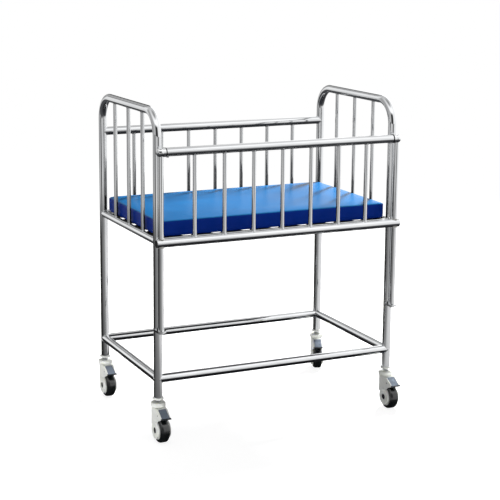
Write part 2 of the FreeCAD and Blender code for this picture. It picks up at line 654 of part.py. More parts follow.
def brake_pedal():
    """Pedal on its pin in the hood's nose: a sloping plate flush with the hood, a lip for the
    toe, and under it the shoe that the toe presses towards the tyre."""
    fall = (HOOD_TOP - HOOD_NOSE_TOP) / (HOOD_SLOPE_Y - HOOD_NOSE_Y)
    under = V(0, 0, -PEDAL_THICKNESS * math.hypot(1, fall))
    back_y = HOOD_SLOPE_Y - PEDAL_TIP_GAP
    lip_y = HOOD_NOSE_Y - PEDAL_TIP_GAP
    top_back = V(0, back_y, HOOD_TOP - PEDAL_TIP_GAP * fall)
    top_lip = V(0, lip_y, HOOD_TOP - (HOOD_SLOPE_Y - lip_y) * fall)
    half = PEDAL_WIDTH / 2
    plate = pedal_slab([top_back, top_lip, top_lip + under, top_back + under], half)

    toe_y = -PEDAL_REACH
    toe_z = HOOD_TOP - (HOOD_SLOPE_Y - toe_y) * fall
    lip = pedal_slab([top_lip, V(0, toe_y, toe_z + PEDAL_LIP / 4), V(0, toe_y, toe_z - PEDAL_LIP / 4),
                      V(0, lip_y, top_lip.z - PEDAL_LIP)], PEDAL_LIP_WIDTH / 2)
    boss = rod(V(-half, PIVOT_Y, PIVOT_Z), ALONG_X, PEDAL_WIDTH, 2 * PIVOT_BOSS_R)
    web_low = V(0, PIVOT_Y, PIVOT_Z)
    web_high = V(0, PIVOT_Y, HOOD_TOP - (HOOD_SLOPE_Y - PIVOT_Y) * fall - PEDAL_THICKNESS)
    back = V(0, PIVOT_BOSS_R, 0)
    web = pedal_slab([web_low - back, web_low + back, web_high + back, web_high - back], half / 2)
    shoe = box(V(-SHOE_WIDTH / 2, SHOE_Y - SHOE_LENGTH / 2, shoe_low()),
               V(SHOE_WIDTH / 2, SHOE_Y + SHOE_LENGTH / 2, PIVOT_Z + PIVOT_BOSS_R))
    hole = rod(V(-half, PIVOT_Y, PIVOT_Z), ALONG_X, PEDAL_WIDTH, PIVOT_D + 2 * PIVOT_FIT)
    return plate.fuse([lip, boss, web, shoe]).cut(hole).removeSplitter()


def shoe_low():
    """Foot of the brake shoe: it is the clearance off the tyre when the pedal is down."""
    front = SHOE_Y - SHOE_LENGTH / 2
    back = SHOE_Y + SHOE_LENGTH / 2
    tyre_z = WHEEL_R + math.sqrt(WHEEL_R ** 2 - (back + TRAIL) ** 2)
    swing = (PIVOT_Y - front) * math.tan(math.radians(PEDAL_SWING_DEG))
    return tyre_z + swing + SHOE_CLEARANCE


def pedal_slab(outline, half_width):
    """Side outline given a width about the caster's middle plane."""
    shifted = [point - V(half_width, 0, 0) for point in outline]
    return Part.Face(Part.makePolygon(shifted + shifted[:1])).extrude(V(2 * half_width, 0, 0))


def pedal_pin():
    """Steel pin across the hood's nose."""
    along = PIVOT_Y / HOOD_NOSE_Y
    half = CHEEK_OUTER + (HOOD_NOSE_HALF_WIDTH - CHEEK_OUTER) * along - PIVOT_PIN_SUNK
    return rod(V(-half, PIVOT_Y, PIVOT_Z), ALONG_X, 2 * half, PIVOT_D)


def placed(shape, x, y, turn):
    """Copy of a caster piece under one leg, swivelled by an angle about its stem."""
    copy = shape.copy()
    copy.rotate(V(0, 0, 0), UP, turn)
    copy.translate(V(x, y, 0))
    return copy


# ---------------------------------------------------------------------------- build

os.makedirs("parts", exist_ok=True)

for end, x in ENDS.items():
    save(end + "_end_hoop", end_hoop(x))
    save(end + "_end_bars", end_bars(x))
    save(end + "_bed_rail", end_rail(x, BED_RAIL_Z, BED_RAIL_D))
    save(end + "_shelf_rail", end_rail(x, SHELF_RAIL_Z, TUBE_D))
    save(end + "_guide_rod", guide_rod(x))
    save(end + "_slide_block", slide_block(x))
    save(end + "_latch_plunger", latch_plunger(x))
    save(end + "_latch_spring", latch_spring(x))
for side, y in SIDES.items():
    save(side + "_bed_rail", long_rail(y, BED_RAIL_Z, BED_RAIL_D, True))
    save(side + "_shelf_rail", long_rail(y, SHELF_RAIL_Z, TUBE_D, True))
save("back_top_rail", long_rail(BACK_Y, TOP_RAIL_Z, TUBE_D, False))
save("back_bars", side_bars(BACK_Y, BED_RAIL_D))
save("bed_deck", bed_deck())
save("rod_lugs", group([rod_lug(x) for x in ENDS.values()]))
save("drop_top_rail", drop_top_rail())
save("drop_bottom_rail", drop_bottom_rail())
save("drop_bars", side_bars(ROD_Y, TUBE_D))
save("drop_rail_bushes", drop_rail_bushes())
save("latch_stops", latch_stops())
save("mattress_cover", mattress_cover())
save("mattress_foam", foam_space(0))

socket = leg_socket()
stem = caster_stem()
corners = [(x, y) for y in SIDES.values() for x in ENDS.values()]
save("leg_sockets", group([placed(socket, x, y, 0) for x, y in corners]))
save("caster_stems", group([placed(stem, x, y, 0) for x, y in corners]))
caster = {
    "caster_fork": caster_fork(),
    "wheel_axle": wheel_axle(),
    "wheel_hub": wheel_hub(),
    "tyre": tyre(),
    "brake_pedal": brake_pedal(),
    "pedal_pin": pedal_pin(),
}
for side, y in SIDES.items():
    for end, x in ENDS.items():
        turn = BACK_RIGHT_TURN_DEG if (side, end) == ("back", "right") else 0
        for piece, shape in caster.items():
            save(side + "_" + end + "_" + piece, placed(shape, x, y, turn))
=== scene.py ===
"""Hospital bassinet: the looks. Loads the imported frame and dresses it, piece by piece, in the order
in which the real trolley is put together. Metres, +Z up, origin on the floor under its middle."""
import bpy
import math
import numpy as np
from mathutils import Matrix, Vector


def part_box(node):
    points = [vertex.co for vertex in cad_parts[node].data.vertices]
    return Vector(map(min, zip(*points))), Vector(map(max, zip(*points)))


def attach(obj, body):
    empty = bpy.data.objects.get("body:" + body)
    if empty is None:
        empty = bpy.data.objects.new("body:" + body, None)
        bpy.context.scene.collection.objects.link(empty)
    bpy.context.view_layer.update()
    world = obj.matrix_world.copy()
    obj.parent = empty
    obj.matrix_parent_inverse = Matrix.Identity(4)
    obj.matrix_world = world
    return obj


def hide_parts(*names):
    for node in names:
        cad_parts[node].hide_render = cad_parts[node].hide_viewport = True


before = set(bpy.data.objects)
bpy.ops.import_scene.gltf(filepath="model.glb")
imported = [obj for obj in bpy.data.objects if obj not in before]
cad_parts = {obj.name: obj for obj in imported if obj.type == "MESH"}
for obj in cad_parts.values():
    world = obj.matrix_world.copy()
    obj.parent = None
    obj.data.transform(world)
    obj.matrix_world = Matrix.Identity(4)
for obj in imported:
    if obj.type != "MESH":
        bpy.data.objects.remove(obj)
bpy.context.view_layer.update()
scene = bpy.context.scene


# ------------------------------------------------------------------- camera
# A long lens about four metres off, front left, looking slightly down. The small shift is only the
# framing: the object stands a little above and beside the lens's axis.

CAMERA_PLACE = (-1.79192, -3.79150, 1.41963)
CAMERA_BEARING = -24.5
CAMERA_LOOKS_DOWN = 10.55
CAMERA_ROLL = 0.33

camera = bpy.data.objects.new("camera", bpy.data.cameras.new("camera"))
camera.data.sensor_width = 36.0
camera.data.lens = 99.5
camera.data.shift_x = 0.0416
camera.data.shift_y = -0.0944
camera.data.clip_end = 200.0
camera.matrix_world = (
    Matrix.Translation(CAMERA_PLACE)
    @ Matrix.Rotation(math.radians(CAMERA_BEARING), 4, "Z")
    @ Matrix.Rotation(math.radians(90 - CAMERA_LOOKS_DOWN), 4, "X")
    @ Matrix.Rotation(math.radians(CAMERA_ROLL), 4, "Z")
)
scene.collection.objects.link(camera)
scene.camera = camera


# ------------------------------------------------------------------- studio
# A white room with one soft key light behind the right end and two low strips of fill in front.
# Polished steel is all reflection, so it gets a room of its own that nothing else sees, with dark
# flags and white boards at chosen bearings, as they are set round real chrome.

FLOOR_REACH = 60.0
FLOOR_GREY = (0.36, 0.36, 0.36)
SEEN_FLOOR_GREY = (0.42, 0.42, 0.42)
SEEN_FLOOR_LIFT = 0.85
NEAR_FLOOR, FAR_FLOOR = 2.9, 4.1
STEEP, SHALLOW = 0.60, 0.74
UNDER_REACH, BESIDE_REACH = 0.55, 1.5
UNDER_TROLLEY = (0.012, 0.012, 0.014)
BESIDE_TROLLEY = (0.075, 0.077, 0.082)
BOARD_IN_FRONT = (1.25, 1.25, 1.25)
BOARD_BEHIND = (0.60, 0.60, 0.60)
GAP_OVERHEAD = (0.34, 0.34, 0.34)
FILL_AIR = 0.36


def group_tree(name, inputs, outputs):
    """Empty shader node group with float, colour or vector sockets."""
    tree = bpy.data.node_groups.new(name, "ShaderNodeTree")
    kinds = {"value": "NodeSocketFloat", "colour": "NodeSocketColor", "vector": "NodeSocketVector"}
    for label, kind, default in inputs:
        socket = tree.interface.new_socket(name=label, in_out="INPUT", socket_type=kinds[kind])
        if default is not None:
            socket.default_value = default
    for label, kind in outputs:
        tree.interface.new_socket(name=label, in_out="OUTPUT", socket_type=kinds[kind])
    return tree, tree.nodes.new("NodeGroupInput"), tree.nodes.new("NodeGroupOutput")


def feed(tree, socket, value):
    """Drive a socket from another one, or set it to a constant. A colour has three values."""
    if isinstance(value, bpy.types.NodeSocket):
        tree.links.new(value, socket)
    else:
        socket.default_value = (*value, 1) if socket.type == "RGBA" else value


def fed(tree, node, **given):
    """Feed a node's inputs by name, with _ for a space, and give the node back."""
    for label, value in given.items():
        feed(tree, node.inputs[label.replace("_", " ")], value)
    return node


def new_node(tree, kind, **given):
    """New shader node with its inputs fed."""
    return fed(tree, tree.nodes.new("ShaderNode" + kind), **given)


def effect(tree, group, **given):
    """The outputs of a node group, set into a material or a world with its inputs fed."""
    node = tree.nodes.new("ShaderNodeGroup")
    node.node_tree = group
    return fed(tree, node, **given).outputs


def bearing_ramp(tree, turn, pairs):
    """Ramp of greys from (bearing in degrees, brightness) pairs. The radial gradient that drives
    it goes from 0 to 1 over -180 to 180 degrees."""
    node = new_node(tree, "ValToRGB", Fac=turn)
    elements = node.color_ramp.elements
    while len(elements) < len(pairs):
        elements.new(1.0)
    for element, (bearing, grey) in zip(elements, pairs):
        element.position = (bearing + 180) / 360
        element.color = (grey, grey, grey, 1)
    return node.outputs["Color"]


def mixed(tree, share, first, second):
    """Blend of two colours, each a socket or a constant, by a socket's share of the second."""
    node = new_node(tree, "Mix", Factor=share)
    node.data_type = "RGBA"
    feed(tree, node.inputs[6], first)
    feed(tree, node.inputs[7], second)
    return node.outputs[2]


def between(tree, source, low, high, to_low=0.0, to_high=1.0):
    """Straight-line change of a value's range, held at both ends."""
    node = new_node(tree, "MapRange", Value=source, From_Min=low, From_Max=high,
                    To_Min=to_low, To_Max=to_high)
    return node.outputs["Result"]


def calculated(tree, operation, first, second=0.0):
    """One step of arithmetic on two values, each a socket or a number."""
    node = new_node(tree, "Math")
    node.operation = operation
    feed(tree, node.inputs[0], first)
    feed(tree, node.inputs[1], second)
    return node.outputs[0]


def vector_step(tree, operation, first, second=None):
    """One step of vector arithmetic on sockets. A length comes out as a value."""
    node = new_node(tree, "VectorMath")
    node.operation = operation
    tree.links.new(first, node.inputs[0])
    if second is not None:
        tree.links.new(second, node.inputs[1])
    return node.outputs["Value" if operation == "LENGTH" else "Vector"]


def chosen(tree, share, first, second):
    """The second of two shaders by a socket's share, else the first."""
    node = new_node(tree, "MixShader", Fac=share)
    tree.links.new(first, node.inputs[1])
    tree.links.new(second, node.inputs[2])
    return node.outputs[0]


def chrome_room():
    """Group: brightness of the reflected room by bearing, on the near floor, on the far floor and
    on the walls."""
    tree, given, result = group_tree(
        "chrome_room", [("Direction", "vector", None)],
        [("Near floor", "colour"), ("Far floor", "colour"), ("Walls", "colour")])
    turn = new_node(tree, "TexGradient", Vector=given.outputs["Direction"])
    turn.gradient_type = "RADIAL"
    near = [(-180, 0.08), (-165, 0.15), (-145, 0.21), (-120, 0.27), (-106, 0.32), (-93, 0.52),
            (-80, 0.66), (-60, 0.76), (-25, 0.84), (30, 0.86), (54, 0.86), (61, 0.5), (67, 0.02),
            (110, 0.02), (112, 0.18), (117, 0.18), (119, 0.02), (168, 0.02), (180, 0.08)]
    far = [(-180, 0.22), (-176, 0.03), (-156, 0.03), (-147, 0.70), (-136, 0.85), (-124, 0.40),
           (-110, 0.66), (-97, 0.50), (-90, 0.12), (-76, 0.12), (-58, 0.75), (-40, 1.0),
           (-20, 0.90), (10, 1.12), (58, 0.9), (70, 0.45), (106, 0.45), (111, 0.8), (118, 0.7),
           (124, 0.10), (140, 0.14), (150, 0.55), (170, 0.55)]
    walls = [(-180, 0.45), (-148, 0.60), (-142, 0.04), (-88, 0.04), (-82, 0.9), (0, 1.1),
             (57, 1.7), (61, 1.5), (64, 0.70), (67, 0.22), (70, 0.02), (75, 0.02), (79, 0.40),
             (84, 0.55), (86, 0.14), (89, 0.14), (92, 0.60), (97, 0.60), (99, 0.12), (102, 0.12),
             (106, 0.70), (111, 0.90), (120, 0.95), (127, 0.4), (180, 0.45)]
    for label, pairs in (("Near floor", near), ("Far floor", far), ("Walls", walls)):
        feed(tree, result.inputs[label], bearing_ramp(tree, turn.outputs["Fac"], pairs))
    return tree


CHROME_ROOM = chrome_room()


def unlit(name):
    """New material without any shader, and its tree."""
    finish = bpy.data.materials.new(name)
    finish.use_nodes = True
    finish.node_tree.nodes.clear()
    return finish, finish.node_tree


def floor_sheet(name, finish, only_reflected):
    """Wide flat square at floor height, which shows in reflections only or in all but them."""
    corners = [(-FLOOR_REACH, -FLOOR_REACH, 0), (FLOOR_REACH, -FLOOR_REACH, 0),
               (FLOOR_REACH, FLOOR_REACH, 0), (-FLOOR_REACH, FLOOR_REACH, 0)]
    mesh = bpy.data.meshes.new(name)
    mesh.from_pydata(corners, [], [(0, 1, 2, 3)])
    sheet = bpy.data.objects.new(name, mesh)
    mesh.materials.append(finish)
    scene.collection.objects.link(sheet)
    if only_reflected:
        sheet.visible_camera = False
        sheet.visible_diffuse = False
        sheet.visible_shadow = False
        sheet.visible_transmission = False
    else:
        sheet.visible_glossy = False


def pale_floor():
    """Matt white floor that the lens sees a little overexposed, so that only shadows mark it."""
    finish, tree = unlit("pale_floor")
    matt = new_node(tree, "BsdfDiffuse", Color=FLOOR_GREY)
    seen = new_node(tree, "BsdfDiffuse", Color=SEEN_FLOOR_GREY)
    lift = new_node(tree, "Emission", Strength=SEEN_FLOOR_LIFT)
    lifted = new_node(tree, "AddShader")
    tree.links.new(seen.outputs[0], lifted.inputs[0])
    tree.links.new(lift.outputs[0], lifted.inputs[1])
    camera_ray = new_node(tree, "LightPath").outputs["Is Camera Ray"]
    surface = chosen(tree, camera_ray, matt.outputs[0], lifted.outputs[0])
    new_node(tree, "OutputMaterial", Surface=surface)
    return finish


def reflected_floor():
    """Floor of the chrome room, glossy black: seen steeply it is dark, most of all under the
    trolley, and at a low angle it shows the room's tone by bearing, its near one turning to the
    far one with distance."""
    finish, tree = unlit("reflected_floor")
    place = new_node(tree, "TexCoord").outputs["Object"]
    room = effect(tree, CHROME_ROOM, Direction=place)
    distance = vector_step(tree, "LENGTH", place)
    tone = mixed(tree, between(tree, distance, NEAR_FLOOR, FAR_FLOOR),
                 room["Near floor"], room["Far floor"])
    steep_tone = mixed(tree, between(tree, distance, UNDER_REACH, BESIDE_REACH),
                       UNDER_TROLLEY, BESIDE_TROLLEY)
    slant = new_node(tree, "LayerWeight", Blend=0.5).outputs["Facing"]
    colour = mixed(tree, between(tree, slant, STEEP, SHALLOW), steep_tone, tone)
    glow = new_node(tree, "Emission", Color=colour)
    new_node(tree, "OutputMaterial", Surface=glow.outputs[0])
    return finish


floor_sheet("floor", pale_floor(), only_reflected=False)
floor_sheet("reflected_floor", reflected_floor(), only_reflected=True)


def background(tree, strength, colour=(1, 1, 1)):
    """Background shader, white unless a colour socket drives it."""
    return new_node(tree, "Background", Color=colour, Strength=strength).outputs[0]


def studio_air():
    """Room seen past the floor's edge: plain white for the lens, even and dimmer as fill light,
    and in reflections the chrome room's walls under a ceiling of boards, brighter in front than
    behind, with a dim gap straight overhead."""
    world = bpy.data.worlds.new("studio_air")
    world.use_nodes = True
    tree = world.node_tree
    tree.nodes.clear()
    direction = new_node(tree, "TexCoord").outputs["Generated"]
    room = effect(tree, CHROME_ROOM, Direction=direction)
    part = new_node(tree, "SeparateXYZ", Vector=direction).outputs
    boards = mixed(tree, between(tree, part["Y"], -0.60, 0.60), BOARD_IN_FRONT, BOARD_BEHIND)
    boards = mixed(tree, between(tree, part["Z"], 0.86, 0.98), boards, GAP_OVERHEAD)
    reflected = mixed(tree, between(tree, part["Z"], 0.50, 0.66), room["Walls"], boards)
    path = new_node(tree, "LightPath").outputs
    seen = chosen(tree, path["Is Glossy Ray"], background(tree, FILL_AIR),
                  background(tree, 1.0, reflected))
    seen = chosen(tree, path["Is Camera Ray"], seen, background(tree, 1.0))
    new_node(tree, "OutputWorld", Surface=seen)
    return world


def area_light(name, place, target, width, height, watts, spread_deg=180.0):
    """Soft rectangular light aimed at a point, which neither the lens nor the steel sees."""
    lamp = bpy.data.objects.new(name, bpy.data.lights.new(name, "AREA"))
    lamp.data.shape = "RECTANGLE"
    lamp.data.size = width
    lamp.data.size_y = height
    lamp.data.energy = watts
    lamp.data.spread = math.radians(spread_deg)
    lamp.location = place
    lamp.rotation_euler = (Vector(target) - Vector(place)).to_track_quat("-Z", "Y").to_euler()
    lamp.visible_camera = False
    lamp.visible_glossy = False
    scene.collection.objects.link(lamp)


scene.world = studio_air()
area_light("key", (1.36, 1.00, 2.30), (0, 0, 0.6), width=0.18, height=1.1, watts=164)
area_light("left_fill", (-2.30, -1.90, 0.16), (-0.42, -0.02, 0.06), width=0.6, height=0.15,
           watts=0.46, spread_deg=12)
area_light("right_fill", (1.70, -2.90, 0.30), (0.38, -0.10, 0.08), width=0.6, height=0.15,
           watts=0.30, spread_deg=12)
scene.view_settings.view_transform = "Standard"


# ------------------------------------------------------------------- end hoops
# Each end is one stainless tube, bent into two legs and a push handle, with three upright bars
# welded in under the handle. Both ends are mirror polished after welding, which leaves faint
# streaks along every tube and a slightly duller bloom here and there.

def noise(tree, coordinate, scale, detail):
    """Noise over a piece, from 0 to 1. It mostly keeps to 0.35 to 0.65."""
    return new_node(tree, "TexNoise", Vector=coordinate, Scale=scale, Detail=detail).outputs["Fac"]


def spread(tree, source, to_low=0.0, to_high=1.0):
    """Noise spread over a range."""
    return between(tree, source, 0.35, 0.65, to_low, to_high)


def polish_streaks():
    """Group: marks of a polishing wheel. Fine noise on coordinates squeezed along the piece gives
    the streaks, and a broad cloudy noise gives the uneven shine."""
    tree, given, result = group_tree(
        "polish_streaks",
        [("Coordinate", "vector", None), ("Along", "vector", (1, 1, 1)),
         ("Low", "value", 0.0), ("High", "value", 1.0)],
        [("Roughness", "value"), ("Cloud", "value"), ("Height", "value")])
    place = given.outputs["Coordinate"]
    squeezed = vector_step(tree, "MULTIPLY", place, given.outputs["Along"])
    fine = noise(tree, squeezed, scale=1.0, detail=4.0)
    cloudy = noise(tree, place, scale=9.0, detail=3.0)
    both = calculated(tree, "ADD", calculated(tree, "MULTIPLY", fine, 0.45),
                      calculated(tree, "MULTIPLY", cloudy, 0.55))
    fed(tree, result, Roughness=spread(tree, both, given.outputs["Low"], given.outputs["High"]),
        Cloud=spread(tree, cloudy), Height=fine)
    return tree


STREAKS = polish_streaks()


def bumped(tree, shader, height, strength, distance):
    """Small relief from a height socket."""
    relief = new_node(tree, "Bump", Strength=strength, Distance=distance, Height=height)
    fed(tree, shader, Normal=relief.outputs["Normal"])


def principled(name, **given):
    """New material, its tree, its Principled shader with inputs fed, and Object coordinates."""
    finish = bpy.data.materials.new(name)
    finish.use_nodes = True
    tree = finish.node_tree
    shader = fed(tree, tree.nodes["Principled BSDF"], **given)
    return finish, tree, shader, new_node(tree, "TexCoord").outputs["Object"]


def steel(name, along, low=0.035, high=0.085, bright=(0.87, 0.88, 0.89), dull=(0.80, 0.81, 0.825),
          relief=0.03):
    """Stainless steel, of roughness low to high. along is how many times in a metre its polishing
    marks change on each axis, so they run the way of the smallest number."""
    finish, tree, shader, place = principled(name, Metallic=1.0)
    marks = effect(tree, STREAKS, Coordinate=place, Along=along, Low=low, High=high)
    fed(tree, shader, Roughness=marks["Roughness"],
        Base_Color=mixed(tree, marks["Cloud"], bright, dull))
    bumped(tree, shader, marks["Height"], strength=relief, distance=0.0004)
    return finish


def dress(finish, *nodes):
    """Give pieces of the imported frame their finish."""
    for node in nodes:
        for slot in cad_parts[node].material_slots:
            slot.material = finish


UPRIGHT = (900, 900, 14)
ALONG_RAILS = (14, 900, 900)
ALONG_HANDLES = (900, 14, 900)
ENDS = {"left": -0.3825, "right": 0.3825}
SIDES = {"front": -0.20825, "back": 0.25175}

upright_steel = steel("upright_steel", UPRIGHT)
for end in ENDS:
    dress(upright_steel, end + "_end_hoop", end + "_end_bars")


# ------------------------------------------------------------------- rails and back
# Straight tubes coped to the legs: a ring of rails under the mattress, a ring just above the
# casters, and at the back a fixed side of one top rail and seven bars.

long_steel = steel("long_steel", ALONG_RAILS)
cross_steel = steel("cross_steel", ALONG_HANDLES)
for level in ("bed_rail", "shelf_rail"):
    dress(long_steel, "front_" + level, "back_" + level)
    dress(cross_steel, "left_" + level, "right_" + level)
dress(long_steel, "back_top_rail")
dress(upright_steel, "back_bars")


# ------------------------------------------------------------------- frame welds
# Every bar and rail is welded all round where it meets another tube, and the bead is dressed
# down and polished to a small round fillet.

TUBE_R = 0.0125
BED_RAIL_R = 0.011
BAR_R = 0.006
HANDLE_Z = 0.960
TOP_RAIL_Z = 0.850
BED_RAIL_Z = 0.590
SHELF_RAIL_Z = 0.184
BAR_PITCH = 0.093
SIDE_BAR_X = [BAR_PITCH * step for step in range(-3, 4)]
END_BAR_PITCH = 0.115
END_BAR_Y = [SIDES["front"] + END_BAR_PITCH * step for step in (1, 2, 3)]
BEAD_R = 0.0013
BEAD_SWELL = 0.1
BEAD_WAVES = 17
BEAD_STEPS = 48
SECTION_STEPS = 8
X, Y, Z = np.eye(3)


def weld_bead(meeting, along, radius, other_axis, other_radius, bead_r=BEAD_R):
    """Ring of weld round the end of one tube on the side of another. At angle t round the tube
    the two surfaces meet radius from its axis and sqrt(other_radius^2 - (radius sin t)^2) along
    it, and a small round section, angle s, is carried round that saddle. Its size swells and
    shrinks by a tenth as the torch went round."""
    t = np.linspace(0, 2 * np.pi, BEAD_STEPS, endpoint=False)[:, None]
    s = np.linspace(0, 2 * np.pi, SECTION_STEPS, endpoint=False)[None, :]
    side_axis = np.cross(along, other_axis)
    outward = np.cos(t)[..., None] * other_axis + np.sin(t)[..., None] * side_axis
    stand = np.sqrt(np.maximum(other_radius ** 2 - (radius * np.sin(t)) ** 2, 0))
    section = bead_r * (1 + BEAD_SWELL * np.sin(BEAD_WAVES * t))
    across = (radius + section * np.cos(s))[..., None] * outward
    return np.asarray(meeting) + across + (stand + section * np.sin(s))[..., None] * along


def closed_grid_faces(rows, columns):
    """Quads of a grid that closes on itself both ways."""
    i, j = np.meshgrid(np.arange(rows), np.arange(columns), indexing="ij")
    i_next, j_next = (i + 1) % rows, (j + 1) % columns
    corners = [i * columns + j, i_next * columns + j,
               i_next * columns + j_next, i * columns + j_next]
    return np.stack(corners, axis=-1).reshape(-1, 4)


def shaped(name, points, faces, finish, body):
    """Smooth mesh piece from arrays of points and quads, riding on a body."""
    mesh = bpy.data.meshes.new(name)
    mesh.from_pydata(points.tolist(), [], faces.tolist())
    mesh.materials.append(finish)
    mesh.polygons.foreach_set("use_smooth", np.ones(len(mesh.polygons), dtype=bool))
    piece = bpy.data.objects.new(name, mesh)
    scene.collection.objects.link(piece)
    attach(piece, body)
    return piece


def weld_piece(name, beads, body):
    """One piece for all the beads of a body."""
    one = closed_grid_faces(*beads[0].shape[:2])
    count = beads[0].shape[0] * beads[0].shape[1]
    faces = np.concatenate([one + count * number for number in range(len(beads))])
    points = np.concatenate([bead.reshape(-1, 3) for bead in beads])
    return shaped(name, points, faces, weld_steel, body)


def bar_beads(x, y, top, rail_axis, low_r):
    """The two beads of an upright bar, under its top rail and over its bottom rail."""
    return [weld_bead((x, y, top), -Z, BAR_R, rail_axis, TUBE_R),
            weld_bead((x, y, BED_RAIL_Z), Z, BAR_R, rail_axis, low_r)]


weld_steel = steel("weld_steel", along=(300, 300, 300), low=0.14, high=0.30, relief=0.08)
frame_beads = []
for x in SIDE_BAR_X:
    frame_beads += bar_beads(x, SIDES["back"], TOP_RAIL_Z, X, BED_RAIL_R)
for end, x in ENDS.items():
    inward = -X * np.sign(x)
    for y in END_BAR_Y:
        frame_beads += bar_beads(x, y, HANDLE_Z, Y, BED_RAIL_R)
    for side, y in SIDES.items():
        across = -Y * np.sign(y)
        for z, radius in ((BED_RAIL_Z, BED_RAIL_R), (SHELF_RAIL_Z, TUBE_R)):
            frame_beads.append(weld_bead((x, y, z), inward, radius, Z, TUBE_R))
            frame_beads.append(weld_bead((x, y, z), across, radius, Z, TUBE_R))
    frame_beads.append(weld_bead((x, SIDES["back"], TOP_RAIL_Z), inward, TUBE_R, Z, TUBE_R))
weld_piece("frame_welds", frame_beads, "frame")


# ------------------------------------------------------------------- punched deck
# The mattress lies on a thin stainless sheet, let in between the bed rails and punched all over.
# It is left as rolled, so it is duller than the tubes, with its grain along the bed.

deck_steel = steel("deck_steel", along=(14, 700, 700), low=0.26, high=0.42,
                   bright=(0.46, 0.47, 0.49), dull=(0.36, 0.37, 0.39), relief=0.10)
dress(deck_steel, "bed_deck")


# ------------------------------------------------------------------- guide rods
# A solid polished rod stands in front of each front leg, in a lug at its foot, and a short stub
# ties its top to the leg. The drop side slides on the two.

STUB_Z = 0.856
STUB_R = 0.005
STUB_BEAD_R = 0.001

dress(upright_steel, "left_guide_rod", "right_guide_rod", "rod_lugs")
stub_beads = [weld_bead((x, SIDES["front"], STUB_Z), -Y, STUB_R, Z, TUBE_R, STUB_BEAD_R)
              for x in ENDS.values()]
weld_piece("stub_welds", stub_beads, "frame")


# ------------------------------------------------------------------- drop side
# The front side is two tubes with seven bars between them. Its top rail ends in a cast ball on
# each rod, and its bottom rail runs past both rods, bushed with nylon.

ROD_Y = -0.23525
DARK_WITHIN_X = 0.370
# Near black, painted as the shade in the gap where each ball meets the top rail.
GAP_PAINTED_SHADE = (0.015, 0.015, 0.016)

dress(long_steel, "drop_top_rail", "drop_bottom_rail")
dress(upright_steel, "drop_bars")
drop_beads = []
for x in SIDE_BAR_X:
    drop_beads += bar_beads(x, ROD_Y, TOP_RAIL_Z, X, TUBE_R)
weld_piece("drop_side_welds", drop_beads, "drop_side")


def recoloured(finish, share, first=None, second=None):
    """Blend a finish's own base colour with another one by a socket's share. The side of the
    blend that isn't given keeps the finish's own colour."""
    tree = finish.node_tree
    base = tree.nodes["Principled BSDF"].inputs["Base Color"]
    own = base.links[0].from_socket
    feed(tree, base, mixed(tree, share, first or own, second or own))
    return finish


def cast_steel():
    """Steel of the ball ends, with painted shade, near black, on the last of the collar and on the
    spigot, for the shadow in the gap between ball and rail."""
    finish = steel("ball_steel", along=(300, 300, 300), low=0.07, high=0.16,
                   bright=(0.93, 0.94, 0.95), dull=(0.88, 0.89, 0.90))
    tree = finish.node_tree
    place = new_node(tree, "TexCoord").outputs["Object"]
    sideways = new_node(tree, "SeparateXYZ", Vector=place).outputs["X"]
    outward = calculated(tree, "ABSOLUTE", sideways)
    # Painted shade: steel nearer the middle than DARK_WITHIN_X goes near black, for the gap between
    # ball and rail.
    polished = between(tree, outward, DARK_WITHIN_X - 0.0004, DARK_WITHIN_X + 0.0004)
    return recoloured(finish, polished, first=GAP_PAINTED_SHADE)


dress(cast_steel(), "left_slide_block", "right_slide_block")


# ------------------------------------------------------------------- latches
# A sprung steel plunger in each end of the top rail noses up to the rod. Its tab shows in a slot
# under the rail, and the spring and the plug behind it are out of sight inside the tube.

pin_steel = steel("pin_steel", along=(500, 500, 500), low=0.22, high=0.36,
                  bright=(0.62, 0.63, 0.65), dull=(0.50, 0.51, 0.53), relief=0.06)
for end in ENDS:
    dress(pin_steel, end + "_latch_plunger", end + "_latch_spring")
dress(pin_steel, "latch_stops")


# ------------------------------------------------------------------- moulded nylon
# Sockets in the leg ends, bushes, caster forks and hubs are moulded in white nylon, satin, with
# the fine grain of the mould. What is near the floor picks up a little dust.

def moulded_skin():
    """Group: fine grain of a mould, and a broad cloud where the gloss and tone change a little."""
    tree, given, result = group_tree(
        "moulded_skin", [("Coordinate", "vector", None), ("Grain size", "value", 0.0006)],
        [("Grain", "value"), ("Cloud", "value")])
    place = given.outputs["Coordinate"]
    scale = calculated(tree, "DIVIDE", 1.0, given.outputs["Grain size"])
    fed(tree, result, Grain=noise(tree, place, scale, detail=2.0),
        Cloud=spread(tree, noise(tree, place, scale=42.0, detail=3.0)))
    return tree


def floor_dust():
    """Group: mask of dust, patchy, and thinning out from the floor up to a given height."""
    tree, given, result = group_tree(
        "floor_dust",
        [("Coordinate", "vector", None), ("Reach", "value", 0.1), ("Amount", "value", 0.3)],
        [("Mask", "value")])
    place = given.outputs["Coordinate"]
    height = new_node(tree, "SeparateXYZ", Vector=place).outputs["Z"]
    rise = calculated(tree, "DIVIDE", height, given.outputs["Reach"])
    low = between(tree, rise, 0.0, 1.0, 1.0, 0.0)
    patches = between(tree, noise(tree, place, scale=120.0, detail=4.0), 0.40, 0.66)
    patchy = calculated(tree, "MULTIPLY", low, patches)
    fed(tree, result, Mask=calculated(tree, "MULTIPLY", patchy, given.outputs["Amount"]))
    return tree


MOULDED_SKIN = moulded_skin()
FLOOR_DUST = floor_dust()
DUST_COLOUR = (0.36, 0.35, 0.33)
DUST_ROUGHNESS = 0.4
# Near black of the painted shade under a pedal's lip.
LIP_SHADE = (0.010, 0.013, 0.018)


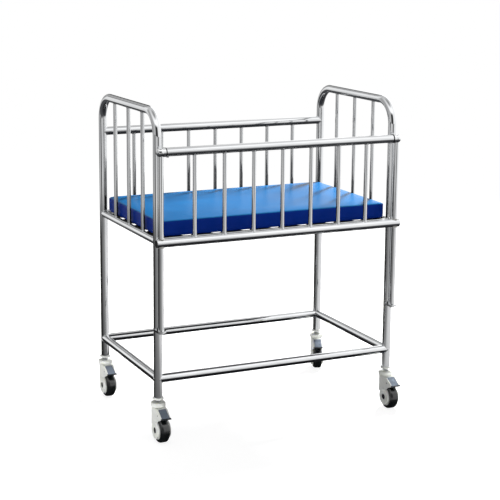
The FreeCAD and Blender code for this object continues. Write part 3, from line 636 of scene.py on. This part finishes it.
def moulded(name, clean, shaded, low, high, grain=0.0006, relief=0.05, dust=0.0, specular=0.5,
            painted_shade_below=0.0, cloudiness=0.0):
    """Moulded plastic or rubber: two close tones, roughness between low and high, grain, dust, and,
    below a given height, painted shade that turns the colour near black, for the shadow where a lip
    turns under. Light goes a little way into white nylon."""
    finish, tree, shader, place = principled(
        name, Specular_IOR_Level=specular, Subsurface_Weight=cloudiness,
        Subsurface_Radius=(1.0, 1.0, 0.9), Subsurface_Scale=0.007)
    skin = effect(tree, MOULDED_SKIN, Coordinate=place, Grain_size=grain)
    colour = mixed(tree, skin["Cloud"], clean, shaded)
    roughness = between(tree, skin["Cloud"], 0.0, 1.0, low, high)
    # Painted shade: the colour goes near black below this height, for the shadow under a lip.
    if painted_shade_below:
        height = new_node(tree, "SeparateXYZ", Vector=place).outputs["Z"]
        lit = between(tree, height, painted_shade_below, painted_shade_below + 0.001)
        colour = mixed(tree, lit, LIP_SHADE, colour)
    if dust:
        cover = effect(tree, FLOOR_DUST, Coordinate=place, Amount=dust)["Mask"]
        colour = mixed(tree, cover, colour, DUST_COLOUR)
        roughness = calculated(tree, "ADD", roughness,
                               calculated(tree, "MULTIPLY", cover, DUST_ROUGHNESS))
    fed(tree, shader, Base_Color=colour, Roughness=roughness)
    bumped(tree, shader, skin["Grain"], strength=relief, distance=0.0003)
    return finish


WHITE_NYLON = dict(clean=(0.93, 0.945, 0.895), shaded=(0.88, 0.895, 0.845), low=0.30, high=0.42,
                   dust=0.10, cloudiness=0.4)
nylon = moulded("white_nylon", **WHITE_NYLON)
bush_nylon = moulded("bush_nylon", clean=(0.80, 0.79, 0.74), shaded=(0.74, 0.73, 0.68),
                     low=0.35, high=0.45)
dress(nylon, "leg_sockets")
dress(bush_nylon, "drop_rail_bushes")


# ------------------------------------------------------------------- casters
# Each caster is a nylon fork on a steel stem, with a rubber tyre on a nylon hub between its
# cheeks. A slate-blue foot pedal in the hood's nose presses a brake shoe on the tyre.

AXLE_Z = 0.0375
TRAIL = 0.025
FORK_TURN = {"back_right": math.radians(-22)}
AXLE_WELL_R = 0.0087
# Near black painted shade for the recess round each axle head.
WELL_PAINTED_SHADE = (0.004, 0.005, 0.005)


def axle_well():
    """Group: mask of what lies close round a line, which is 1 inside the radius of the well that
    the axle's head is sunk in. The distance is the length of the offset crossed with the axis."""
    tree, given, result = group_tree(
        "axle_well",
        [("Coordinate", "vector", None), ("Centre", "vector", (0, 0, 0)),
         ("Axis", "vector", (1, 0, 0))],
        [("Mask", "value")])
    offset = vector_step(tree, "SUBTRACT", given.outputs["Coordinate"], given.outputs["Centre"])
    crossed = vector_step(tree, "CROSS_PRODUCT", offset, given.outputs["Axis"])
    away = vector_step(tree, "LENGTH", crossed)
    fed(tree, result, Mask=between(tree, away, AXLE_WELL_R, AXLE_WELL_R + 0.0002, 1.0, 0.0))
    return tree


AXLE_WELL = axle_well()


def fork_nylon(side, end):
    """The white nylon of one fork, with painted shade, near black, inside the well of its axle, for
    the shadow in that recess. The wheel is off its stem by the trail along (sin, -cos) of the fork's
    turn, and its axle lies along (cos, sin)."""
    corner = side + "_" + end
    turn = FORK_TURN.get(corner, 0.0)
    finish = moulded(corner + "_fork_nylon", **WHITE_NYLON)
    tree = finish.node_tree
    place = new_node(tree, "TexCoord").outputs["Object"]
    centre = (ENDS[end] + TRAIL * math.sin(turn), SIDES[side] - TRAIL * math.cos(turn), AXLE_Z)
    axis = (math.cos(turn), math.sin(turn), 0)
    well = effect(tree, AXLE_WELL, Coordinate=place, Centre=centre, Axis=axis)
    return recoloured(finish, well["Mask"], second=WELL_PAINTED_SHADE)


# Height under which the pedal's lip gets painted shade.
PEDAL_LIP_Z = 0.0816
tyre_rubber = moulded("tyre_rubber", clean=(0.003, 0.004, 0.0045), shaded=(0.005, 0.0065, 0.007),
                      low=0.16, high=0.24, grain=0.0004, relief=0.08, dust=0.03, specular=1.0)
pedal_plastic = moulded("pedal_plastic", clean=(0.145, 0.175, 0.222), shaded=(0.172, 0.206, 0.255),
                        low=0.20, high=0.30, grain=0.0005, relief=0.06, dust=0.05, specular=0.8,
                        painted_shade_below=PEDAL_LIP_Z)
dark_steel = steel("dark_steel", along=(500, 500, 500), low=0.40, high=0.55,
                   bright=(0.020, 0.021, 0.023), dull=(0.014, 0.015, 0.017), relief=0.06)
dress(pin_steel, "caster_stems")
for side in SIDES:
    for end in ENDS:
        corner = side + "_" + end + "_"
        dress(fork_nylon(side, end), corner + "caster_fork")
        dress(nylon, corner + "wheel_hub")
        dress(tyre_rubber, corner + "tyre")
        dress(pedal_plastic, corner + "brake_pedal")
        dress(dark_steel, corner + "wheel_axle", corner + "pedal_pin")


# ------------------------------------------------------------------- mattress
# A firm foam block in a welded cover of royal blue vinyl, loose in the bed. The cover is tight
# and only slightly crowned, its edges drawn in a little where the foam gives way.

COVER_LOW, COVER_HIGH = (np.array(corner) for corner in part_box("mattress_cover"))
SLACK = 0.0005
CROWN = 0.004
PLAN_CORNER_R = 0.012
LOWER_EDGE_R = 0.009
UPPER_EDGE_R = 0.003
VOXEL = 0.006
CORNER_STEPS = 7
EDGE_STEPS = 6
FLAT_STEPS = 12
SWELL_FRAMES = 20


def foam_block(low, high, corner_r, lower_r, upper_r):
    """Rounded slab as one grid. Angle u goes round the plan, whose corners are quarter circles of
    corner_r joined by straight sides. Parameter v goes from the middle of the bottom out to the
    lower edge, up, and in to the middle of the top. The outline shrinks with the share of its
    reach on the two flats, and by r (1 - cos) where v rounds an edge of radius r."""
    quarter = np.linspace(0, np.pi / 2, CORNER_STEPS)
    u = (np.arange(4)[:, None] * np.pi / 2 + quarter[None]).ravel()
    around = np.stack([np.cos(u), np.sin(u)], axis=-1)
    diagonal = np.repeat(np.arange(4) * np.pi / 2 + np.pi / 4, CORNER_STEPS)
    quadrant = np.sign(np.stack([np.cos(diagonal), np.sin(diagonal)], axis=-1))
    middle, half = (low + high) / 2, (high - low) / 2
    turn = np.linspace(0, np.pi / 2, EDGE_STEPS)
    flat = np.linspace(0, 1, FLAT_STEPS, endpoint=False)
    reach = np.concatenate([flat, np.ones(2 * EDGE_STEPS), flat[::-1]])
    drawn_in = np.concatenate([lower_r * np.ones(FLAT_STEPS), lower_r * (1 - np.sin(turn)),
                               upper_r * (1 - np.cos(turn)), upper_r * np.ones(FLAT_STEPS)])
    rise = lower_r * np.concatenate([np.zeros(FLAT_STEPS), 1 - np.cos(turn)])
    sink = upper_r * np.concatenate([1 - np.sin(turn), np.zeros(FLAT_STEPS)])
    height = np.concatenate([low[2] + rise, high[2] - sink])[:, None, None]
    ring = quadrant * (half[:2] - corner_r) + around * corner_r
    drawn = ring[None] - around[None] * drawn_in[:, None, None]
    plan = reach[:, None, None] * drawn + middle[:2]
    return np.concatenate([plan, np.broadcast_to(height, plan.shape[:2] + (1,))], axis=-1)


def grid_faces_closed_round(rows, columns):
    """Quads of a grid that closes on itself along its rows only."""
    i, j = np.meshgrid(np.arange(rows - 1), np.arange(columns), indexing="ij")
    j_next = (j + 1) % columns
    corners = [i * columns + j, i * columns + j_next,
               (i + 1) * columns + j_next, (i + 1) * columns + j]
    return np.stack(corners, axis=-1).reshape(-1, 4)


def applied(piece):
    """Replace a piece's mesh by what its modifiers make of it."""
    made = piece.evaluated_get(bpy.context.evaluated_depsgraph_get())
    mesh = bpy.data.meshes.new_from_object(made)
    piece.modifiers.clear()
    piece.data = mesh


def points_of(mesh):
    """All the points of a mesh as one array."""
    points = np.empty(3 * len(mesh.vertices), dtype=np.float32)
    mesh.vertices.foreach_get("co", points)
    return points.reshape(-1, 3)


def swollen(piece, cap):
    """Cloth filled with pressure for some frames. Each point then goes along its own push, up to
    the cap: cap tanh(push / cap)."""
    start = points_of(piece.data)
    cloth = piece.modifiers.new("cloth", "CLOTH")
    cloth.settings.quality = 6
    cloth.settings.mass = 0.35
    cloth.settings.tension_stiffness = 40
    cloth.settings.compression_stiffness = 40
    cloth.settings.shear_stiffness = 20
    cloth.settings.bending_stiffness = 4
    cloth.settings.use_pressure = True
    cloth.settings.uniform_pressure_force = 0.3
    cloth.settings.effector_weights.gravity = 0
    cloth.collision_settings.use_collision = False
    for number in range(1, SWELL_FRAMES + 1):
        scene.frame_set(number)
    applied(piece)
    push = points_of(piece.data) - start
    length = np.maximum(np.linalg.norm(push, axis=1, keepdims=True), 1e-9)
    points = start + push / length * cap * np.tanh(length / cap)
    piece.data.vertices.foreach_set("co", points.astype(np.float32).ravel())
    scene.frame_set(1)


def vinyl_skin():
    """Group: skin of coated vinyl. Small rounded pebbles with fine noise in their hollows, and a
    broad soft waviness of the sheet."""
    tree, given, result = group_tree(
        "vinyl_skin", [("Coordinate", "vector", None), ("Pebble", "value", 0.0012)],
        [("Grain", "value"), ("Wave", "value")])
    place = given.outputs["Coordinate"]
    scale = calculated(tree, "DIVIDE", 1.0, given.outputs["Pebble"])
    pebble = new_node(tree, "TexVoronoi", Vector=place, Scale=scale)
    pebble.feature = "SMOOTH_F1"
    hollow = calculated(tree, "SUBTRACT", 1.0, pebble.outputs["Distance"])
    fine = noise(tree, place, calculated(tree, "MULTIPLY", scale, 2.0), detail=3.0)
    grain = calculated(tree, "ADD", hollow, calculated(tree, "MULTIPLY", fine, 0.3))
    fed(tree, result, Grain=grain, Wave=noise(tree, place, scale=7.0, detail=2.0))
    return tree


def vinyl(name, deep, bright, painted_top_sheen, in_steel):
    """Coated vinyl cloth: two close blues in broad patches, satin, pebbled. Faces that turn upward
    are painted a paler, more cyan blue, a painted sheen for the light the top catches, and in
    reflections the colour is swapped for a painted near black, so the steel gives back only a dark
    trace of it."""
    finish, tree, shader, place = principled(name, Specular_IOR_Level=0.10)
    skin = effect(tree, vinyl_skin(), Coordinate=place, Pebble=0.0014)
    patch = spread(tree, skin["Wave"])
    normal = new_node(tree, "NewGeometry").outputs["Normal"]
    upward = new_node(tree, "SeparateXYZ", Vector=normal).outputs["Z"]
    # Painted sheen: upward faces get the paler top blues, and the sides get the deep ones.
    colour = mixed(tree, between(tree, upward, 0.45, 0.72),
                   mixed(tree, patch, deep, bright), mixed(tree, patch, *painted_top_sheen))
    # Painted reflection: glossy rays see the vinyl near black.
    colour = mixed(tree, new_node(tree, "LightPath").outputs["Is Glossy Ray"], colour, in_steel)
    fed(tree, shader, Base_Color=colour, Roughness=spread(tree, skin["Wave"], 0.32, 0.38))
    bumped(tree, shader, skin["Grain"], strength=0.10, distance=0.0003)
    return finish


blue_vinyl = vinyl("blue_vinyl", deep=(0.0005, 0.042, 0.44), bright=(0.0005, 0.050, 0.50),
                   painted_top_sheen=((0.006, 0.112, 0.305), (0.010, 0.130, 0.340)),
                   in_steel=(0.009, 0.010, 0.012))
grid = foam_block(COVER_LOW, COVER_HIGH - SLACK, PLAN_CORNER_R, LOWER_EDGE_R, UPPER_EDGE_R)
mattress = shaped("mattress", grid.reshape(-1, 3), grid_faces_closed_round(*grid.shape[:2]),
                  blue_vinyl, "mattress")
remesh = mattress.modifiers.new("even_mesh", "REMESH")
remesh.mode = "VOXEL"
remesh.voxel_size = VOXEL
remesh.use_smooth_shade = True
applied(mattress)
swollen(mattress, CROWN)
points = np.clip(points_of(mattress.data), COVER_LOW, COVER_HIGH + (0, 0, CROWN))
mattress.data.vertices.foreach_set("co", points.astype(np.float32).ravel())
rounding = mattress.modifiers.new("rounding", "SUBSURF")
rounding.levels = rounding.render_levels = 1
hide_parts("mattress_cover", "mattress_foam")
